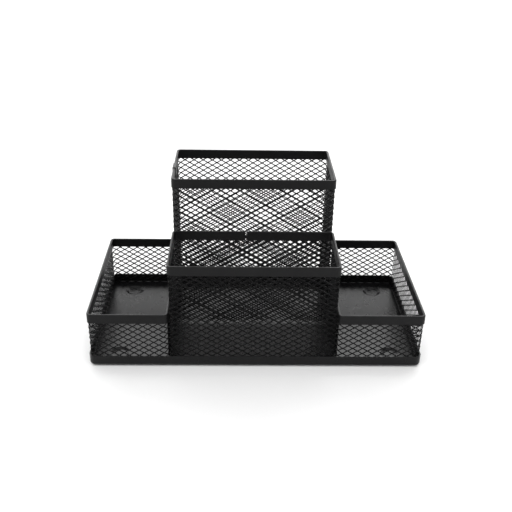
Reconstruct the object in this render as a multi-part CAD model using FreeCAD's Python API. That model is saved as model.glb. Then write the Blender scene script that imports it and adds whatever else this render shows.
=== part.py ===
import FreeCAD, Part
import math
import os
from FreeCAD import Vector

# A mesh desk organizer: two low trays, a front cup and a taller rear cup, standing in one pressed pan.
# All lengths are in millimetres. X runs to the right, Y to the back and Z up.
# The origin is on the table, under the middle of the pan.

# Overall sizes
overall_length = 205.0
overall_depth = 103.0
tray_height = 37.0
front_cup_height = 70.0
rear_cup_height = 104.5

# The two cups, measured over their rims
cup_length = 102.0
front_cup_depth = 48.0
cup_offset = -2.0
rim_spacing = 0.2

# Base pan
pan_sheet = 0.6
pan_flange_height = 6.8
pan_corner_radius = 3.8
pan_bend_radius = 0.8

# Round dishes pressed down into the pan's floor, which are its feet
dish_diameter = 12.5
dish_bottom_diameter = 8.5
dish_depth = 1.0
dish_edge_radius = 0.5
dish_inset_x = 17.0
dish_inset_y = 13.0

# Mesh sleeves
mesh_sheet = 0.6
sleeve_corner_radius = 2.4
sleeve_seat_gap = 0.05
opening_long_pitch = 10.4
opening_short_pitch = 6.0
strand_width = 0.95
panel_margin = 0.5

# Folded rim strips
rim_height = 6.0
rim_sheet = 0.4
rim_fold_radius = 0.5
rim_seam_gap = 1.0
front_cup_seam_shift = -4.4
rear_cup_lap_length = 8.0

# How far a cutting shape reaches past what it cuts
overrun = 1.0

# Levels that follow from the sizes above
pan_bottom = dish_depth
pan_floor = pan_bottom + pan_sheet
flange_top = pan_bottom + pan_flange_height
mesh_bottom = pan_floor + pan_bend_radius

# The sleeves stand this far inside the pan's edge, so that their tighter corners clear its rounder ones
corner_difference = pan_corner_radius - pan_sheet - sleeve_corner_radius
sleeve_clearance = corner_difference * (1 - math.cos(math.radians(45))) + sleeve_seat_gap

# Plan of the mesh sleeves, measured over the outside of the mesh
mesh_left = -overall_length / 2 + pan_sheet + sleeve_clearance
mesh_right = overall_length / 2 - pan_sheet - sleeve_clearance
mesh_front = -overall_depth / 2 + pan_sheet + sleeve_clearance
mesh_back = overall_depth / 2 - pan_sheet - sleeve_clearance
cup_left = cup_offset - cup_length / 2 + rim_sheet
cup_right = cup_offset + cup_length / 2 - rim_sheet
sleeve_spacing = rim_spacing + 2 * rim_sheet
front_cup_back = mesh_front + front_cup_depth - 2 * rim_sheet
rear_cup_front = front_cup_back + sleeve_spacing

UP = Vector(0, 0, 1)


class Box:
    """A rectangle in plan, with low and high corners in X and Y."""

    def __init__(self, left, right, front, back):
        self.left = left
        self.right = right
        self.front = front
        self.back = back

    def inset(self, amount):
        return Box(self.left + amount, self.right - amount, self.front + amount, self.back - amount)


def save(name, shape):
    """Write one node's solid to its own file."""
    shape.exportStep("parts/" + name + ".step")


def rounded_prism(box, radius, low, high):
    """A block with rounded vertical edges between two levels."""
    width = box.right - box.left
    depth = box.back - box.front
    block = Part.makeBox(width, depth, high - low, Vector(box.left, box.front, low))
    upright = [edge for edge in block.Edges if abs(edge.tangentAt(edge.FirstParameter).z) > 0.5]
    return block.makeFillet(radius, upright)


def edges_at_level(shape, level):
    """The edges that lie wholly at one height."""
    near = pan_sheet / 100
    return [
        edge
        for edge in shape.Edges
        if abs(edge.BoundBox.ZMin - level) < near and abs(edge.BoundBox.ZMax - level) < near
    ]


def fitted_steps(length, nominal):
    """How many steps of about a nominal size fill a length."""
    return max(1, round(length / nominal))


def row_levels(top):
    """Heights of the rows of openings, from the pan's edge up to the rim's lower edge."""
    low = flange_top
    high = top + rim_sheet - rim_height
    steps = fitted_steps(high - low, opening_short_pitch / 2)
    return [low + (high - low) * step / steps for step in range(steps + 1)]


def opening(centre_x, centre_z, half_long, half_short, tips):
    """A diamond opening, or half of one if it has one tip, as a closed wire in the XZ plane."""
    reach = half_long * half_short / math.hypot(half_long, half_short)
    keep = 1 - strand_width / 2 / reach
    points = [Vector(centre_x, 0, centre_z - half_short * keep)]
    if "left" in tips:
        points.append(Vector(centre_x - half_long * keep, 0, centre_z))
    points.append(Vector(centre_x, 0, centre_z + half_short * keep))
    if "right" in tips:
        points.append(Vector(centre_x + half_long * keep, 0, centre_z))
    return Part.makePolygon(points + points[:1])


def panel_openings(length, levels):
    """The openings of a flat panel: every second row is half a pitch along and ends in half openings."""
    whole = fitted_steps(length - 2 * panel_margin, opening_long_pitch)
    half_long = (length - 2 * panel_margin) / whole / 2
    half_short = levels[1] - levels[0]
    wires = []
    for row, level in enumerate(levels):
        shifted = row % 2 == 1
        for column in range(whole + shifted):
            centre = panel_margin + half_long * (2 * column + (0 if shifted else 1))
            tips = ["left", "right"]
            if shifted and column == 0:
                tips = ["right"]
            if shifted and column == whole:
                tips = ["left"]
            wires.append(opening(centre, level, half_long, half_short, tips))
    return wires


def flat_panel(length, top):
    """A flat piece of expanded mesh, from the pan up to a level, its outer face on the XZ plane."""
    corners = [
        Vector(0, 0, mesh_bottom),
        Vector(length, 0, mesh_bottom),
        Vector(length, 0, top),
        Vector(0, 0, top),
    ]
    outline = Part.makePolygon(corners + corners[:1])
    wires = [outline] + panel_openings(length, row_levels(top))
    return Part.Face(wires).extrude(Vector(0, mesh_sheet, 0))


def bend_openings(levels):
    """Cutting shapes for the column of openings down a bend, from its upright line out towards 45 degrees."""
    half_long = (sleeve_corner_radius - mesh_sheet) * math.sin(math.radians(45))
    half_short = levels[1] - levels[0]
    reach = Vector(0, sleeve_corner_radius + overrun, 0)
    prisms = []
    for level in levels[::2]:
        wire = opening(0, level, half_long, half_short, ("left", "right"))
        prisms.append(Part.Face(wire).extrude(reach))
    cutter = Part.makeCompound(prisms)
    cutter.rotate(Vector(0, 0, 0), UP, -45)
    return cutter


def corner_bend(centre_x, centre_y, start_angle, top):
    """A quarter turn of the mesh about an upright line, where a sleeve goes round a corner."""
    base = Vector(0, 0, mesh_bottom)
    height = top - mesh_bottom
    bend = Part.makeCylinder(sleeve_corner_radius, height, base, UP, 90)
    inner_height = height + 2 * overrun
    bend = bend.cut(Part.makeCylinder(sleeve_corner_radius - mesh_sheet, inner_height, base - UP * overrun, UP))
    bend = bend.cut(bend_openings(row_levels(top)))
    bend.rotate(Vector(0, 0, 0), UP, start_angle)
    bend.translate(Vector(centre_x, centre_y, 0))
    return bend


def end_wall(box, top, at_back):
    """A front or back wall of a sleeve, with the bend at each of its ends."""
    inner = box.inset(sleeve_corner_radius)
    panel = flat_panel(inner.right - inner.left, top)
    if at_back:
        panel.rotate(Vector(0, 0, 0), UP, 180)
        panel.translate(Vector(inner.right, box.back, 0))
        bends = [corner_bend(inner.left, inner.back, 90, top), corner_bend(inner.right, inner.back, 0, top)]
    else:
        panel.translate(Vector(inner.left, box.front, 0))
        bends = [corner_bend(inner.left, inner.front, 180, top), corner_bend(inner.right, inner.front, 270, top)]
    return panel.fuse(bends).Solids[0]


def side_wall(box, top, at_right):
    """A left or right wall of a sleeve, between the bends of the end walls."""
    inner = box.inset(sleeve_corner_radius)
    panel = flat_panel(inner.back - inner.front, top)
    if at_right:
        panel.rotate(Vector(0, 0, 0), UP, 90)
        panel.translate(Vector(box.right, inner.front, 0))
    else:
        panel.rotate(Vector(0, 0, 0), UP, -90)
        panel.translate(Vector(box.left, inner.back, 0))
    return panel


def folded_ring(box, low, top, layer):
    """A closed loop folded over a sleeve's top edge, its outside a layer's thickness away from the mesh."""
    inside = layer + mesh_sheet
    outer = rounded_prism(box.inset(-layer), sleeve_corner_radius + layer, low, top)
    hole = rounded_prism(box.inset(inside), sleeve_corner_radius - inside, low - overrun, top + overrun)
    ring = outer.cut(hole)
    ring = ring.makeFillet(rim_fold_radius, edges_at_level(ring, top))
    slot_outer = rounded_prism(box, sleeve_corner_radius, low - overrun, top - layer)
    slot_radius = sleeve_corner_radius - mesh_sheet
    slot_inner = rounded_prism(box.inset(mesh_sheet), slot_radius, low - 2 * overrun, top)
    return ring.cut(slot_outer.cut(slot_inner))


def rim_strip(box, top, seam_side, seam_shift):
    """The strip folded over a sleeve's top edge, its ends a small gap apart or lapped one over the other."""
    low = top - rim_height
    ring = folded_ring(box, low, top, rim_sheet)
    middle_x = (box.left + box.right) / 2 + seam_shift
    middle_y = (box.front + box.back) / 2
    reach = rim_sheet + mesh_sheet + rim_sheet + 2 * overrun
    tall = rim_height + 3 * overrun
    if seam_side == "lapped left":
        lap = folded_ring(box, low, top + rim_sheet, 2 * rim_sheet)
        corner = Vector(box.left - rim_sheet - overrun, middle_y - rear_cup_lap_length, low - overrun)
        lap = lap.common(Part.makeBox(reach, rear_cup_lap_length, tall, corner))
        return ring.fuse(lap).Solids[0]
    if seam_side == "back":
        corner = Vector(middle_x - rim_seam_gap / 2, box.back + rim_sheet + overrun - reach, low - overrun)
        return ring.cut(Part.makeBox(rim_seam_gap, reach, tall, corner)).Solids[0]
    corner = Vector(box.left - rim_sheet - overrun, middle_y - rim_seam_gap / 2, low - overrun)
    if seam_side == "right":
        corner.x = box.right + rim_sheet + overrun - reach
    return ring.cut(Part.makeBox(reach, rim_seam_gap, tall, corner)).Solids[0]


def dish_places():
    """The centres of the four dishes in plan."""
    x = overall_length / 2 - dish_inset_x
    y = overall_depth / 2 - dish_inset_y
    return [(-x, -y), (x, -y), (-x, y), (x, y)]


def pan():
    """The pressed base pan: a floor with four dishes and an upturned edge."""
    box = Box(-overall_length / 2, overall_length / 2, -overall_depth / 2, overall_depth / 2)
    outer = rounded_prism(box, pan_corner_radius, pan_bottom, flange_top)
    outer = outer.makeFillet(pan_bend_radius + pan_sheet, edges_at_level(outer, pan_bottom))
    inner_radius = pan_corner_radius - pan_sheet
    cavity = rounded_prism(box.inset(pan_sheet), inner_radius, pan_floor, flange_top + overrun)
    cavity = cavity.makeFillet(pan_bend_radius, edges_at_level(cavity, pan_floor))
    body = outer.cut(cavity)
    for x, y in dish_places():
        body = body.fuse(dish_underside(x, y))
    for x, y in dish_places():
        body = body.cut(dish_hollow(x, y))
    return body.Solids[0]


def dish_underside(x, y):
    """The tapered round block that one dish makes under the floor, a sheet's thickness outside its hollow."""
    run = (dish_diameter - dish_bottom_diameter) / 2
    slope = math.atan2(dish_depth, run)
    shift = pan_sheet * math.tan(slope / 2)
    low = dish_bottom_diameter / 2 + shift
    high = dish_diameter / 2 + shift
    block = Part.makeCone(low, high, dish_depth, Vector(x, y, 0))
    return block.makeFillet(dish_edge_radius, edges_at_level(block, 0))


def dish_hollow(x, y):
    """The hollow of one dish, from its flat bottom up to the floor."""
    low = dish_bottom_diameter / 2
    high = dish_diameter / 2
    hollow = Part.makeCone(low, high, dish_depth, Vector(x, y, pan_sheet))
    return hollow.makeFillet(dish_edge_radius, edges_at_level(hollow, pan_sheet))


def sleeves():
    """Each sleeve's name, plan and height over its rim, and the side and shift of its rim's seam."""
    left_tray = Box(mesh_left, cup_left - sleeve_spacing, mesh_front, mesh_back)
    right_tray = Box(cup_right + sleeve_spacing, mesh_right, mesh_front, mesh_back)
    front_cup = Box(cup_left, cup_right, mesh_front, front_cup_back)
    rear_cup = Box(cup_left, cup_right, rear_cup_front, mesh_back)
    return [
        ("left_tray", left_tray, tray_height, "right", 0),
        ("right_tray", right_tray, tray_height, "left", 0),
        ("front_cup", front_cup, front_cup_height, "back", front_cup_seam_shift),
        ("rear_cup", rear_cup, rear_cup_height, "lapped left", 0),
    ]


def build():
    """Write every node."""
    os.makedirs("parts", exist_ok=True)
    save("base_pan", pan())
    for name, box, height, seam_side, seam_shift in sleeves():
        mesh_top = height - rim_sheet
        save(name + "_front_wall", end_wall(box, mesh_top, False))
        save(name + "_back_wall", end_wall(box, mesh_top, True))
        save(name + "_left_wall", side_wall(box, mesh_top, False))
        save(name + "_right_wall", side_wall(box, mesh_top, True))
        save(name + "_rim", rim_strip(box, height, seam_side, seam_shift))


build()
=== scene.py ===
import math

import bpy
import numpy as np
from mathutils import Matrix, Vector


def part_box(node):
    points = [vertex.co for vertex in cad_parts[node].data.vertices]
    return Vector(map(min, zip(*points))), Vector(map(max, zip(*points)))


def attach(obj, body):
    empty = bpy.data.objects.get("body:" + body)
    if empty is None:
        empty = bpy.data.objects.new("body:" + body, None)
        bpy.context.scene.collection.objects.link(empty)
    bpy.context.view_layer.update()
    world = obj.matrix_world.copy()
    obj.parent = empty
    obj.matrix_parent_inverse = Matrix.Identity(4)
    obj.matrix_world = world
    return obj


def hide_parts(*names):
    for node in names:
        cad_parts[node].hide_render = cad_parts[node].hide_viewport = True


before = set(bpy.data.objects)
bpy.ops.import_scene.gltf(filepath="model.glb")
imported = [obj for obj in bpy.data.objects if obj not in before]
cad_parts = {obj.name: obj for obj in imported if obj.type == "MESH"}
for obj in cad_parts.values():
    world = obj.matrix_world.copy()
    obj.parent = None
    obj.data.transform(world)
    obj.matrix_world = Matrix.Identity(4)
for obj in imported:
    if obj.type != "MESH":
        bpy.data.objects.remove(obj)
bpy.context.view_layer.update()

# A black mesh desk organizer. All lengths here are in metres.
MM = 0.001

SLEEVES = ("left_tray", "right_tray", "front_cup", "rear_cup")
WALLS = ("_front_wall", "_back_wall", "_left_wall", "_right_wall")

# The expanded mesh: its thickness, the pitch of its diamonds and the shape of one opening
STRIP_SHEET = 0.53 * MM
LONG_PITCH = 6.15 * MM
SHORT_PITCH = 3.7 * MM
OPENING_HALF_LENGTH = 2.38 * MM
OPENING_HALF_HEIGHT = 1.4 * MM
BOND_HALF_LENGTH = 0.25 * MM
SHOULDER_SHARE = 0.96
STRAND_BEVEL = 0.12 * MM
STRAND_TILT = 0.14 * MM

# A cell of the lattice has one opening. Its corners are told in quarters of a column and halves of a row.
QUARTERS = 4
CELL_CORNERS = ((-2, 0), (-1, 1), (0, 2), (1, 1), (2, 0), (1, -1), (0, -2), (-1, -1))
OUTSIDE = 1
INSIDE = -1

# How a sleeve fits the solids' walls: its foot a little lower than theirs, its top under the rim's fold
WALL_THICKNESS = 0.6 * MM
SLEEVE_CORNER_RADIUS = 2.4 * MM
FOOT_BELOW_WALLS = 0.45 * MM
TOP_INSIDE_RIM = 0.6 * MM

# How each sleeve's mesh lies: its share of the strands' tilt, and in millimetres its slide along the
# sleeve and its top's lift at each corner, anticlockwise from the front left one
LAY = {
    "left_tray": (1.0, (0.0, 0.2, 0.5, 0.1), (0.1, 0.2, 0.0, -0.1)),
    "right_tray": (0.6, (1.2, 1.4, 1.0, 1.1), (-0.1, 0.1, 0.2, 0.0)),
    "front_cup": (1.0, (1.3, 1.9, 2.3, 1.6), (-0.6, -0.2, -0.6, -1.1)),
    "rear_cup": (1.0, (-0.46, 0.58, 1.86, 1.3), (-1.33, -0.2, -0.63, -0.72)),
}

# The camera, fitted to the corners of the pan and the rims in the photograph
CAMERA_PLACE = Vector((-11.836, -433.831, 280.681)) * MM
CAMERA_YAW = -0.02767
CAMERA_PITCH = -0.48771
CAMERA_ROLL = -0.01969
CAMERA_FOCAL_PIXELS = 757.47
CAMERA_NEAREST = 0.01
CAMERA_FARTHEST = 50.0
IMAGE_PIXELS = 512
SENSOR_WIDTH = 36.0

# The floor
FLOOR_HALF_WIDTH = 6.0
FLOOR_DARK = (0.765, 0.765, 0.765)
FLOOR_LIGHT = (0.785, 0.785, 0.785)
FLOOR_ROUGHNESS = 0.9
FLOOR_SPECULAR = 0.1

# The surround's soft glows: how strong each is, and for each axis that shapes it, how far the direction
# points that way where the glow is nothing and where it is full
GLOWS = (
    ("low band at the back", 3.1, (("Y", 0.25, 0.75), ("Z", 0.85, 0.6))),
    (
        "upper band at the back right",
        3.0,
        (("Y", 0.25, 0.75), ("Z", 0.5, 0.62), ("Z", 0.85, 0.7), ("X", -0.3, 0.25)),
    ),
    ("wide back", 0.32, (("Y", -0.1, 0.6), ("Z", 0.85, 0.6))),
    ("high front", 2.75, (("Y", 0.1, -0.6), ("Z", 0.4, 0.75))),
    ("overhead", 1.0, (("Z", 0.7, 0.95),)),
    ("left", 0.65, (("X", 0.0, -0.7),)),
    ("right", 0.15, (("X", 0.0, 0.7),)),
)
SURROUND_COLOUR = (1.0, 1.0, 1.0, 1.0)
SURROUND_AS_SEEN = 1.0

# Noise in the materials: features to the metre, octaves of detail, and the middle range of its values
FLOOR_PATCHES = 4
SHADE_PATCHES = 60
GLOSS_PATCHES = 350
SHADE_DETAIL = 3
FINE_DETAIL = 2
NOISE_LOW = 0.3
NOISE_HIGH = 0.7


def add_camera():
    """A camera at the photograph's place and angle."""
    camera = bpy.data.objects.new("camera", bpy.data.cameras.new("camera"))
    bpy.context.scene.collection.objects.link(camera)
    camera.data.sensor_width = SENSOR_WIDTH
    camera.data.lens = SENSOR_WIDTH * CAMERA_FOCAL_PIXELS / IMAGE_PIXELS
    camera.data.clip_start = CAMERA_NEAREST
    camera.data.clip_end = CAMERA_FARTHEST
    turn = Matrix.Rotation(CAMERA_YAW, 4, "Z")
    turn = turn @ Matrix.Rotation(CAMERA_PITCH, 4, "X")
    turn = turn @ Matrix.Rotation(CAMERA_ROLL, 4, "Y")
    turn = turn @ Matrix.Rotation(math.pi / 2, 4, "X")
    camera.matrix_world = Matrix.Translation(CAMERA_PLACE) @ turn
    bpy.context.scene.camera = camera


class RoundedLoop:
    """A rectangle with rounded corners in plan, followed anticlockwise from its front side's left end."""

    def __init__(self, low, high, radius):
        self.low = low
        self.high = high
        self.radius = radius
        self.width = high.x - low.x - 2 * radius
        self.depth = high.y - low.y - 2 * radius
        self.bend = math.pi / 2 * radius
        self.length = 2 * self.width + 2 * self.depth + 4 * self.bend

    def bend_middles(self):
        """How far round the loop the middle of each bend lies, the front left one first."""
        half_bend = self.bend / 2
        return (
            -half_bend,
            self.width + half_bend,
            self.width + self.depth + 3 * half_bend,
            self.length - self.depth - 3 * half_bend,
        )

    def at(self, distance):
        """The point and the outward normal, both in plan, at a distance round the loop."""
        distance = distance % self.length
        corner = 0
        straights = (self.width, self.depth, self.width, self.depth)
        while distance > straights[corner] + self.bend:
            distance -= straights[corner] + self.bend
            corner += 1
        along = min(distance, straights[corner])
        angle = max(0.0, distance - along) / self.radius
        starts = (
            Vector((self.low.x + self.radius, self.low.y)),
            Vector((self.high.x, self.low.y + self.radius)),
            Vector((self.high.x - self.radius, self.high.y)),
            Vector((self.low.x, self.high.y - self.radius)),
        )
        ahead = Vector((math.cos(corner * math.pi / 2), math.sin(corner * math.pi / 2)))
        out = Vector((ahead.y, -ahead.x))
        centre = starts[corner] + ahead * along - out * self.radius
        normal = out * math.cos(angle) + ahead * math.sin(angle)
        return centre + normal * self.radius, normal


def sleeve_box(name):
    """The sleeve's lowest and highest corners over its four walls."""
    boxes = [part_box(name + wall) for wall in WALLS]
    low = Vector(min(box[0][axis] for box in boxes) for axis in range(3))
    high = Vector(max(box[1][axis] for box in boxes) for axis in range(3))
    return low, high


def opening_corners(half_length, half_height, half_bond):
    """An opening's corners from its middle, in the order of its cell's corners."""
    shoulder = half_height * SHOULDER_SHARE
    return (
        (-half_length, 0.0),
        (-half_bond, shoulder),
        (0.0, half_height),
        (half_bond, shoulder),
        (half_length, 0.0),
        (half_bond, -shoulder),
        (0.0, -half_height),
        (-half_bond, -shoulder),
    )


def mesh_sleeve(name, tilt, slides, lifts):
    """One sleeve of expanded mesh: a lattice of strands and bonds round the loop, as one closed surface.

    The sheet was neither cut nor bent quite true. At each corner it has slid along the loop by so much
    and its top is lifted by so much, and evenly so in between.
    """
    low, high = sleeve_box(name)
    low.z -= FOOT_BELOW_WALLS
    high.z -= TOP_INSIDE_RIM
    sheet_height = high.z - low.z
    inset = Vector((WALL_THICKNESS / 2, WALL_THICKNESS / 2, 0))
    loop = RoundedLoop(low + inset, high - inset, SLEEVE_CORNER_RADIUS - WALL_THICKNESS / 2)
    bends = loop.bend_middles()

    # The pitches are fitted to whole columns and rows, and the openings to the pitches
    columns = round(loop.length / LONG_PITCH)
    column_pitch = loop.length / columns
    rows = int(sheet_height / (SHORT_PITCH / 2)) - 1
    row_step = sheet_height / (rows + 1)
    wide = column_pitch / LONG_PITCH
    tall = 2 * row_step / SHORT_PITCH
    half_height = OPENING_HALF_HEIGHT * tall
    opening = opening_corners(OPENING_HALF_LENGTH * wide, half_height, BOND_HALF_LENGTH * wide)

    # Half the sheet's thickness where cells meet and at the openings, and how far an opening's edge leans
    # in for each metre up from its middle
    crest = STRIP_SHEET / 2
    edge = STRIP_SHEET / 2 - STRAND_BEVEL
    lean = tilt * STRAND_TILT / half_height

    points = []
    faces = []
    shared = {}
    open_edges = {}

    def add_point(distance, depth, rise):
        """Adds a point so far round the loop, out from the sheet's middle and up from its foot."""
        slid = np.interp(distance, bends, slides, period=loop.length)
        lifted = np.interp(distance, bends, lifts, period=loop.length) * rise / sheet_height
        spot, normal = loop.at(distance + slid)
        spot = spot + normal * depth
        points.append((spot.x, spot.y, low.z + rise + lifted))
        return len(points) - 1

    def cell_point(quarter, half_row, face):
        """A corner that neighbouring cells share, added when it is first asked for."""
        key = (quarter % (QUARTERS * columns), half_row, face)
        if key not in shared:
            distance = quarter * column_pitch / QUARTERS
            shared[key] = add_point(distance, face * crest, (half_row / 2 + 1) * row_step)
        return shared[key]

    def cell_points(middle, row, face):
        """On one face of the sheet, the points round a cell and those round its opening."""
        distance = middle * column_pitch / QUARTERS
        rise = (row + 1) * row_step
        round_cell = [cell_point(middle + across, 2 * row + up, face) for across, up in CELL_CORNERS]
        round_hole = [
            add_point(distance + across, face * edge - lean * up, rise + up) for across, up in opening
        ]
        return round_cell, round_hole

    for row in range(rows):
        for column in range(columns):
            middle = QUARTERS * column + 2 * (row % 2)
            outer, outer_hole = cell_points(middle, row, OUTSIDE)
            inner, inner_hole = cell_points(middle, row, INSIDE)
            for here in range(len(CELL_CORNERS)):
                after = (here + 1) % len(CELL_CORNERS)
                faces.append((outer[here], outer_hole[here], outer_hole[after], outer[after]))
                faces.append((inner[after], inner_hole[after], inner_hole[here], inner[here]))
                faces.append((outer_hole[here], inner_hole[here], inner_hole[after], outer_hole[after]))
                side = (outer[here], outer[after], inner[after], inner[here])
                shared_edge = tuple(sorted(side[:2]))
                if shared_edge in open_edges:
                    del open_edges[shared_edge]
                else:
                    open_edges[shared_edge] = side
    faces.extend(open_edges.values())

    data = bpy.data.meshes.new(name + "_mesh")
    data.from_pydata(points, [], faces)
    data.polygons.foreach_set("use_smooth", [True] * len(faces))
    data.update()
    piece = bpy.data.objects.new(name + "_mesh", data)
    bpy.context.scene.collection.objects.link(piece)
    return piece


class Nodes:
    """Short calls for building one material's nodes."""

    def __init__(self, name):
        self.material = bpy.data.materials.new(name)
        self.material.use_nodes = True
        self.tree = self.material.node_tree
        self.shader = self.tree.nodes["Principled BSDF"]
        self.coordinates = self.tree.nodes.new("ShaderNodeTexCoord")

    def link(self, source, target):
        self.tree.links.new(source, target)

    def noise(self, scale, detail=FINE_DETAIL):
        """Noise in the object's own coordinates, its scale in features to the metre."""
        node = self.tree.nodes.new("ShaderNodeTexNoise")
        node.inputs["Scale"].default_value = scale
        node.inputs["Detail"].default_value = detail
        self.link(self.coordinates.outputs["Object"], node.inputs["Vector"])
        return node.outputs["Fac"]

    def spread(self, source, low, high):
        """Maps noise from its usual middle range to a range of values."""
        node = self.tree.nodes.new("ShaderNodeMapRange")
        node.inputs["From Min"].default_value = NOISE_LOW
        node.inputs["From Max"].default_value = NOISE_HIGH
        node.inputs["To Min"].default_value = low
        node.inputs["To Max"].default_value = high
        self.link(source, node.inputs["Value"])
        return node.outputs["Result"]

    def tint(self, source, dark, light):
        """Mixes two colours by noise."""
        node = self.tree.nodes.new("ShaderNodeMix")
        node.data_type = "RGBA"
        first_colour, second_colour = [socket for socket in node.inputs if socket.type == "RGBA"]
        self.link(self.spread(source, 0.0, 1.0), node.inputs["Factor"])
        first_colour.default_value = (*dark, 1.0)
        second_colour.default_value = (*light, 1.0)
        return next(socket for socket in node.outputs if socket.type == "RGBA")

    def bump(self, source, height):
        """A normal bent by noise, as if it stood so high."""
        node = self.tree.nodes.new("ShaderNodeBump")
        node.inputs["Distance"].default_value = height
        self.link(source, node.inputs["Height"])
        return node.outputs["Normal"]


def black_paint(name, dark, light, roughness, grain, grain_height, specular):
    """Black paint on steel: grain in the surface, and slight changes of shade and gloss.

    The roughness is its lowest and highest value, the grain its features to the metre.
    """
    nodes = Nodes(name)
    shade = nodes.tint(nodes.noise(SHADE_PATCHES, SHADE_DETAIL), dark, light)
    nodes.link(shade, nodes.shader.inputs["Base Color"])
    nodes.link(nodes.spread(nodes.noise(GLOSS_PATCHES), *roughness), nodes.shader.inputs["Roughness"])
    nodes.link(nodes.bump(nodes.noise(grain), grain_height), nodes.shader.inputs["Normal"])
    nodes.shader.inputs["Specular IOR Level"].default_value = specular
    return nodes.material


def wear_on(node, material):
    """Gives every slot of an object one material."""
    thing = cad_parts[node] if isinstance(node, str) else node
    if not thing.material_slots:
        thing.data.materials.append(material)
    for slot in thing.material_slots:
        slot.material = material


def add_floor():
    """A wide pale floor, as wide as any view needs."""
    nodes = Nodes("floor_white")
    shade = nodes.tint(nodes.noise(FLOOR_PATCHES), FLOOR_DARK, FLOOR_LIGHT)
    nodes.link(shade, nodes.shader.inputs["Base Color"])
    nodes.shader.inputs["Roughness"].default_value = FLOOR_ROUGHNESS
    nodes.shader.inputs["Specular IOR Level"].default_value = FLOOR_SPECULAR
    signs = ((-1, -1), (1, -1), (1, 1), (-1, 1))
    corners = [(FLOOR_HALF_WIDTH * x, FLOOR_HALF_WIDTH * y, 0) for x, y in signs]
    data = bpy.data.meshes.new("floor")
    data.from_pydata(corners, [], [(0, 1, 2, 3)])
    floor = bpy.data.objects.new("floor", data)
    bpy.context.scene.collection.objects.link(floor)
    data.materials.append(nodes.material)


def add_surround():
    """Light from soft glows all round. The camera sees plain white past the floor's far edge."""
    world = bpy.data.worlds.new("surround")
    world.use_nodes = True
    tree = world.node_tree
    direction = tree.nodes.new("ShaderNodeTexCoord")
    split = tree.nodes.new("ShaderNodeSeparateXYZ")
    tree.links.new(direction.outputs["Generated"], split.inputs["Vector"])

    def joined(operation, first, second):
        """The sum or product of two things, each a number or a node's output."""
        node = tree.nodes.new("ShaderNodeMath")
        node.operation = operation
        for socket, value in zip(node.inputs, (first, second)):
            if isinstance(value, float):
                socket.default_value = value
            else:
                tree.links.new(value, socket)
        return node.outputs["Value"]

    total = 0.0
    for name, strength, fades in GLOWS:
        glow = strength
        for axis, none, full in fades:
            fade = tree.nodes.new("ShaderNodeMapRange")
            fade.label = name
            fade.interpolation_type = "SMOOTHSTEP"
            fade.inputs["From Min"].default_value = none
            fade.inputs["From Max"].default_value = full
            tree.links.new(split.outputs[axis], fade.inputs["Value"])
            glow = joined("MULTIPLY", fade.outputs["Result"], glow)
        total = joined("ADD", glow, total)
    seen = tree.nodes.new("ShaderNodeLightPath")
    choose = tree.nodes.new("ShaderNodeMix")
    tree.links.new(seen.outputs["Is Camera Ray"], choose.inputs["Factor"])
    tree.links.new(total, choose.inputs["A"])
    choose.inputs["B"].default_value = SURROUND_AS_SEEN
    tree.links.new(choose.outputs["Result"], tree.nodes["Background"].inputs["Strength"])
    tree.nodes["Background"].inputs["Color"].default_value = SURROUND_COLOUR
    bpy.context.scene.world = world
    bpy.context.scene.view_settings.view_transform = "Standard"


add_camera()
add_floor()
add_surround()

mesh_paint = black_paint(
    "mesh_paint",
    dark=(0.003, 0.003, 0.0032),
    light=(0.005, 0.005, 0.0054),
    roughness=(0.38, 0.55),
    grain=4000,
    grain_height=0.03 * MM,
    specular=0.09,
)
rim_paint = black_paint(
    "rim_paint",
    dark=(0.004, 0.004, 0.0043),
    light=(0.006, 0.006, 0.0064),
    roughness=(0.38, 0.50),
    grain=2500,
    grain_height=0.02 * MM,
    specular=0.17,
)
pan_paint = black_paint(
    "pan_paint",
    dark=(0.004, 0.004, 0.0043),
    light=(0.006, 0.006, 0.0064),
    roughness=(0.27, 0.30),
    grain=80,
    grain_height=0.001 * MM,
    specular=0.2,
)

for sleeve in SLEEVES:
    tilt, slides, lifts = LAY[sleeve]
    piece = mesh_sleeve(sleeve, tilt, [slide * MM for slide in slides], [lift * MM for lift in lifts])
    wear_on(piece, mesh_paint)
    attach(piece, "root")
    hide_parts(*[sleeve + wall for wall in WALLS])
    wear_on(sleeve + "_rim", rim_paint)
wear_on("base_pan", pan_paint)
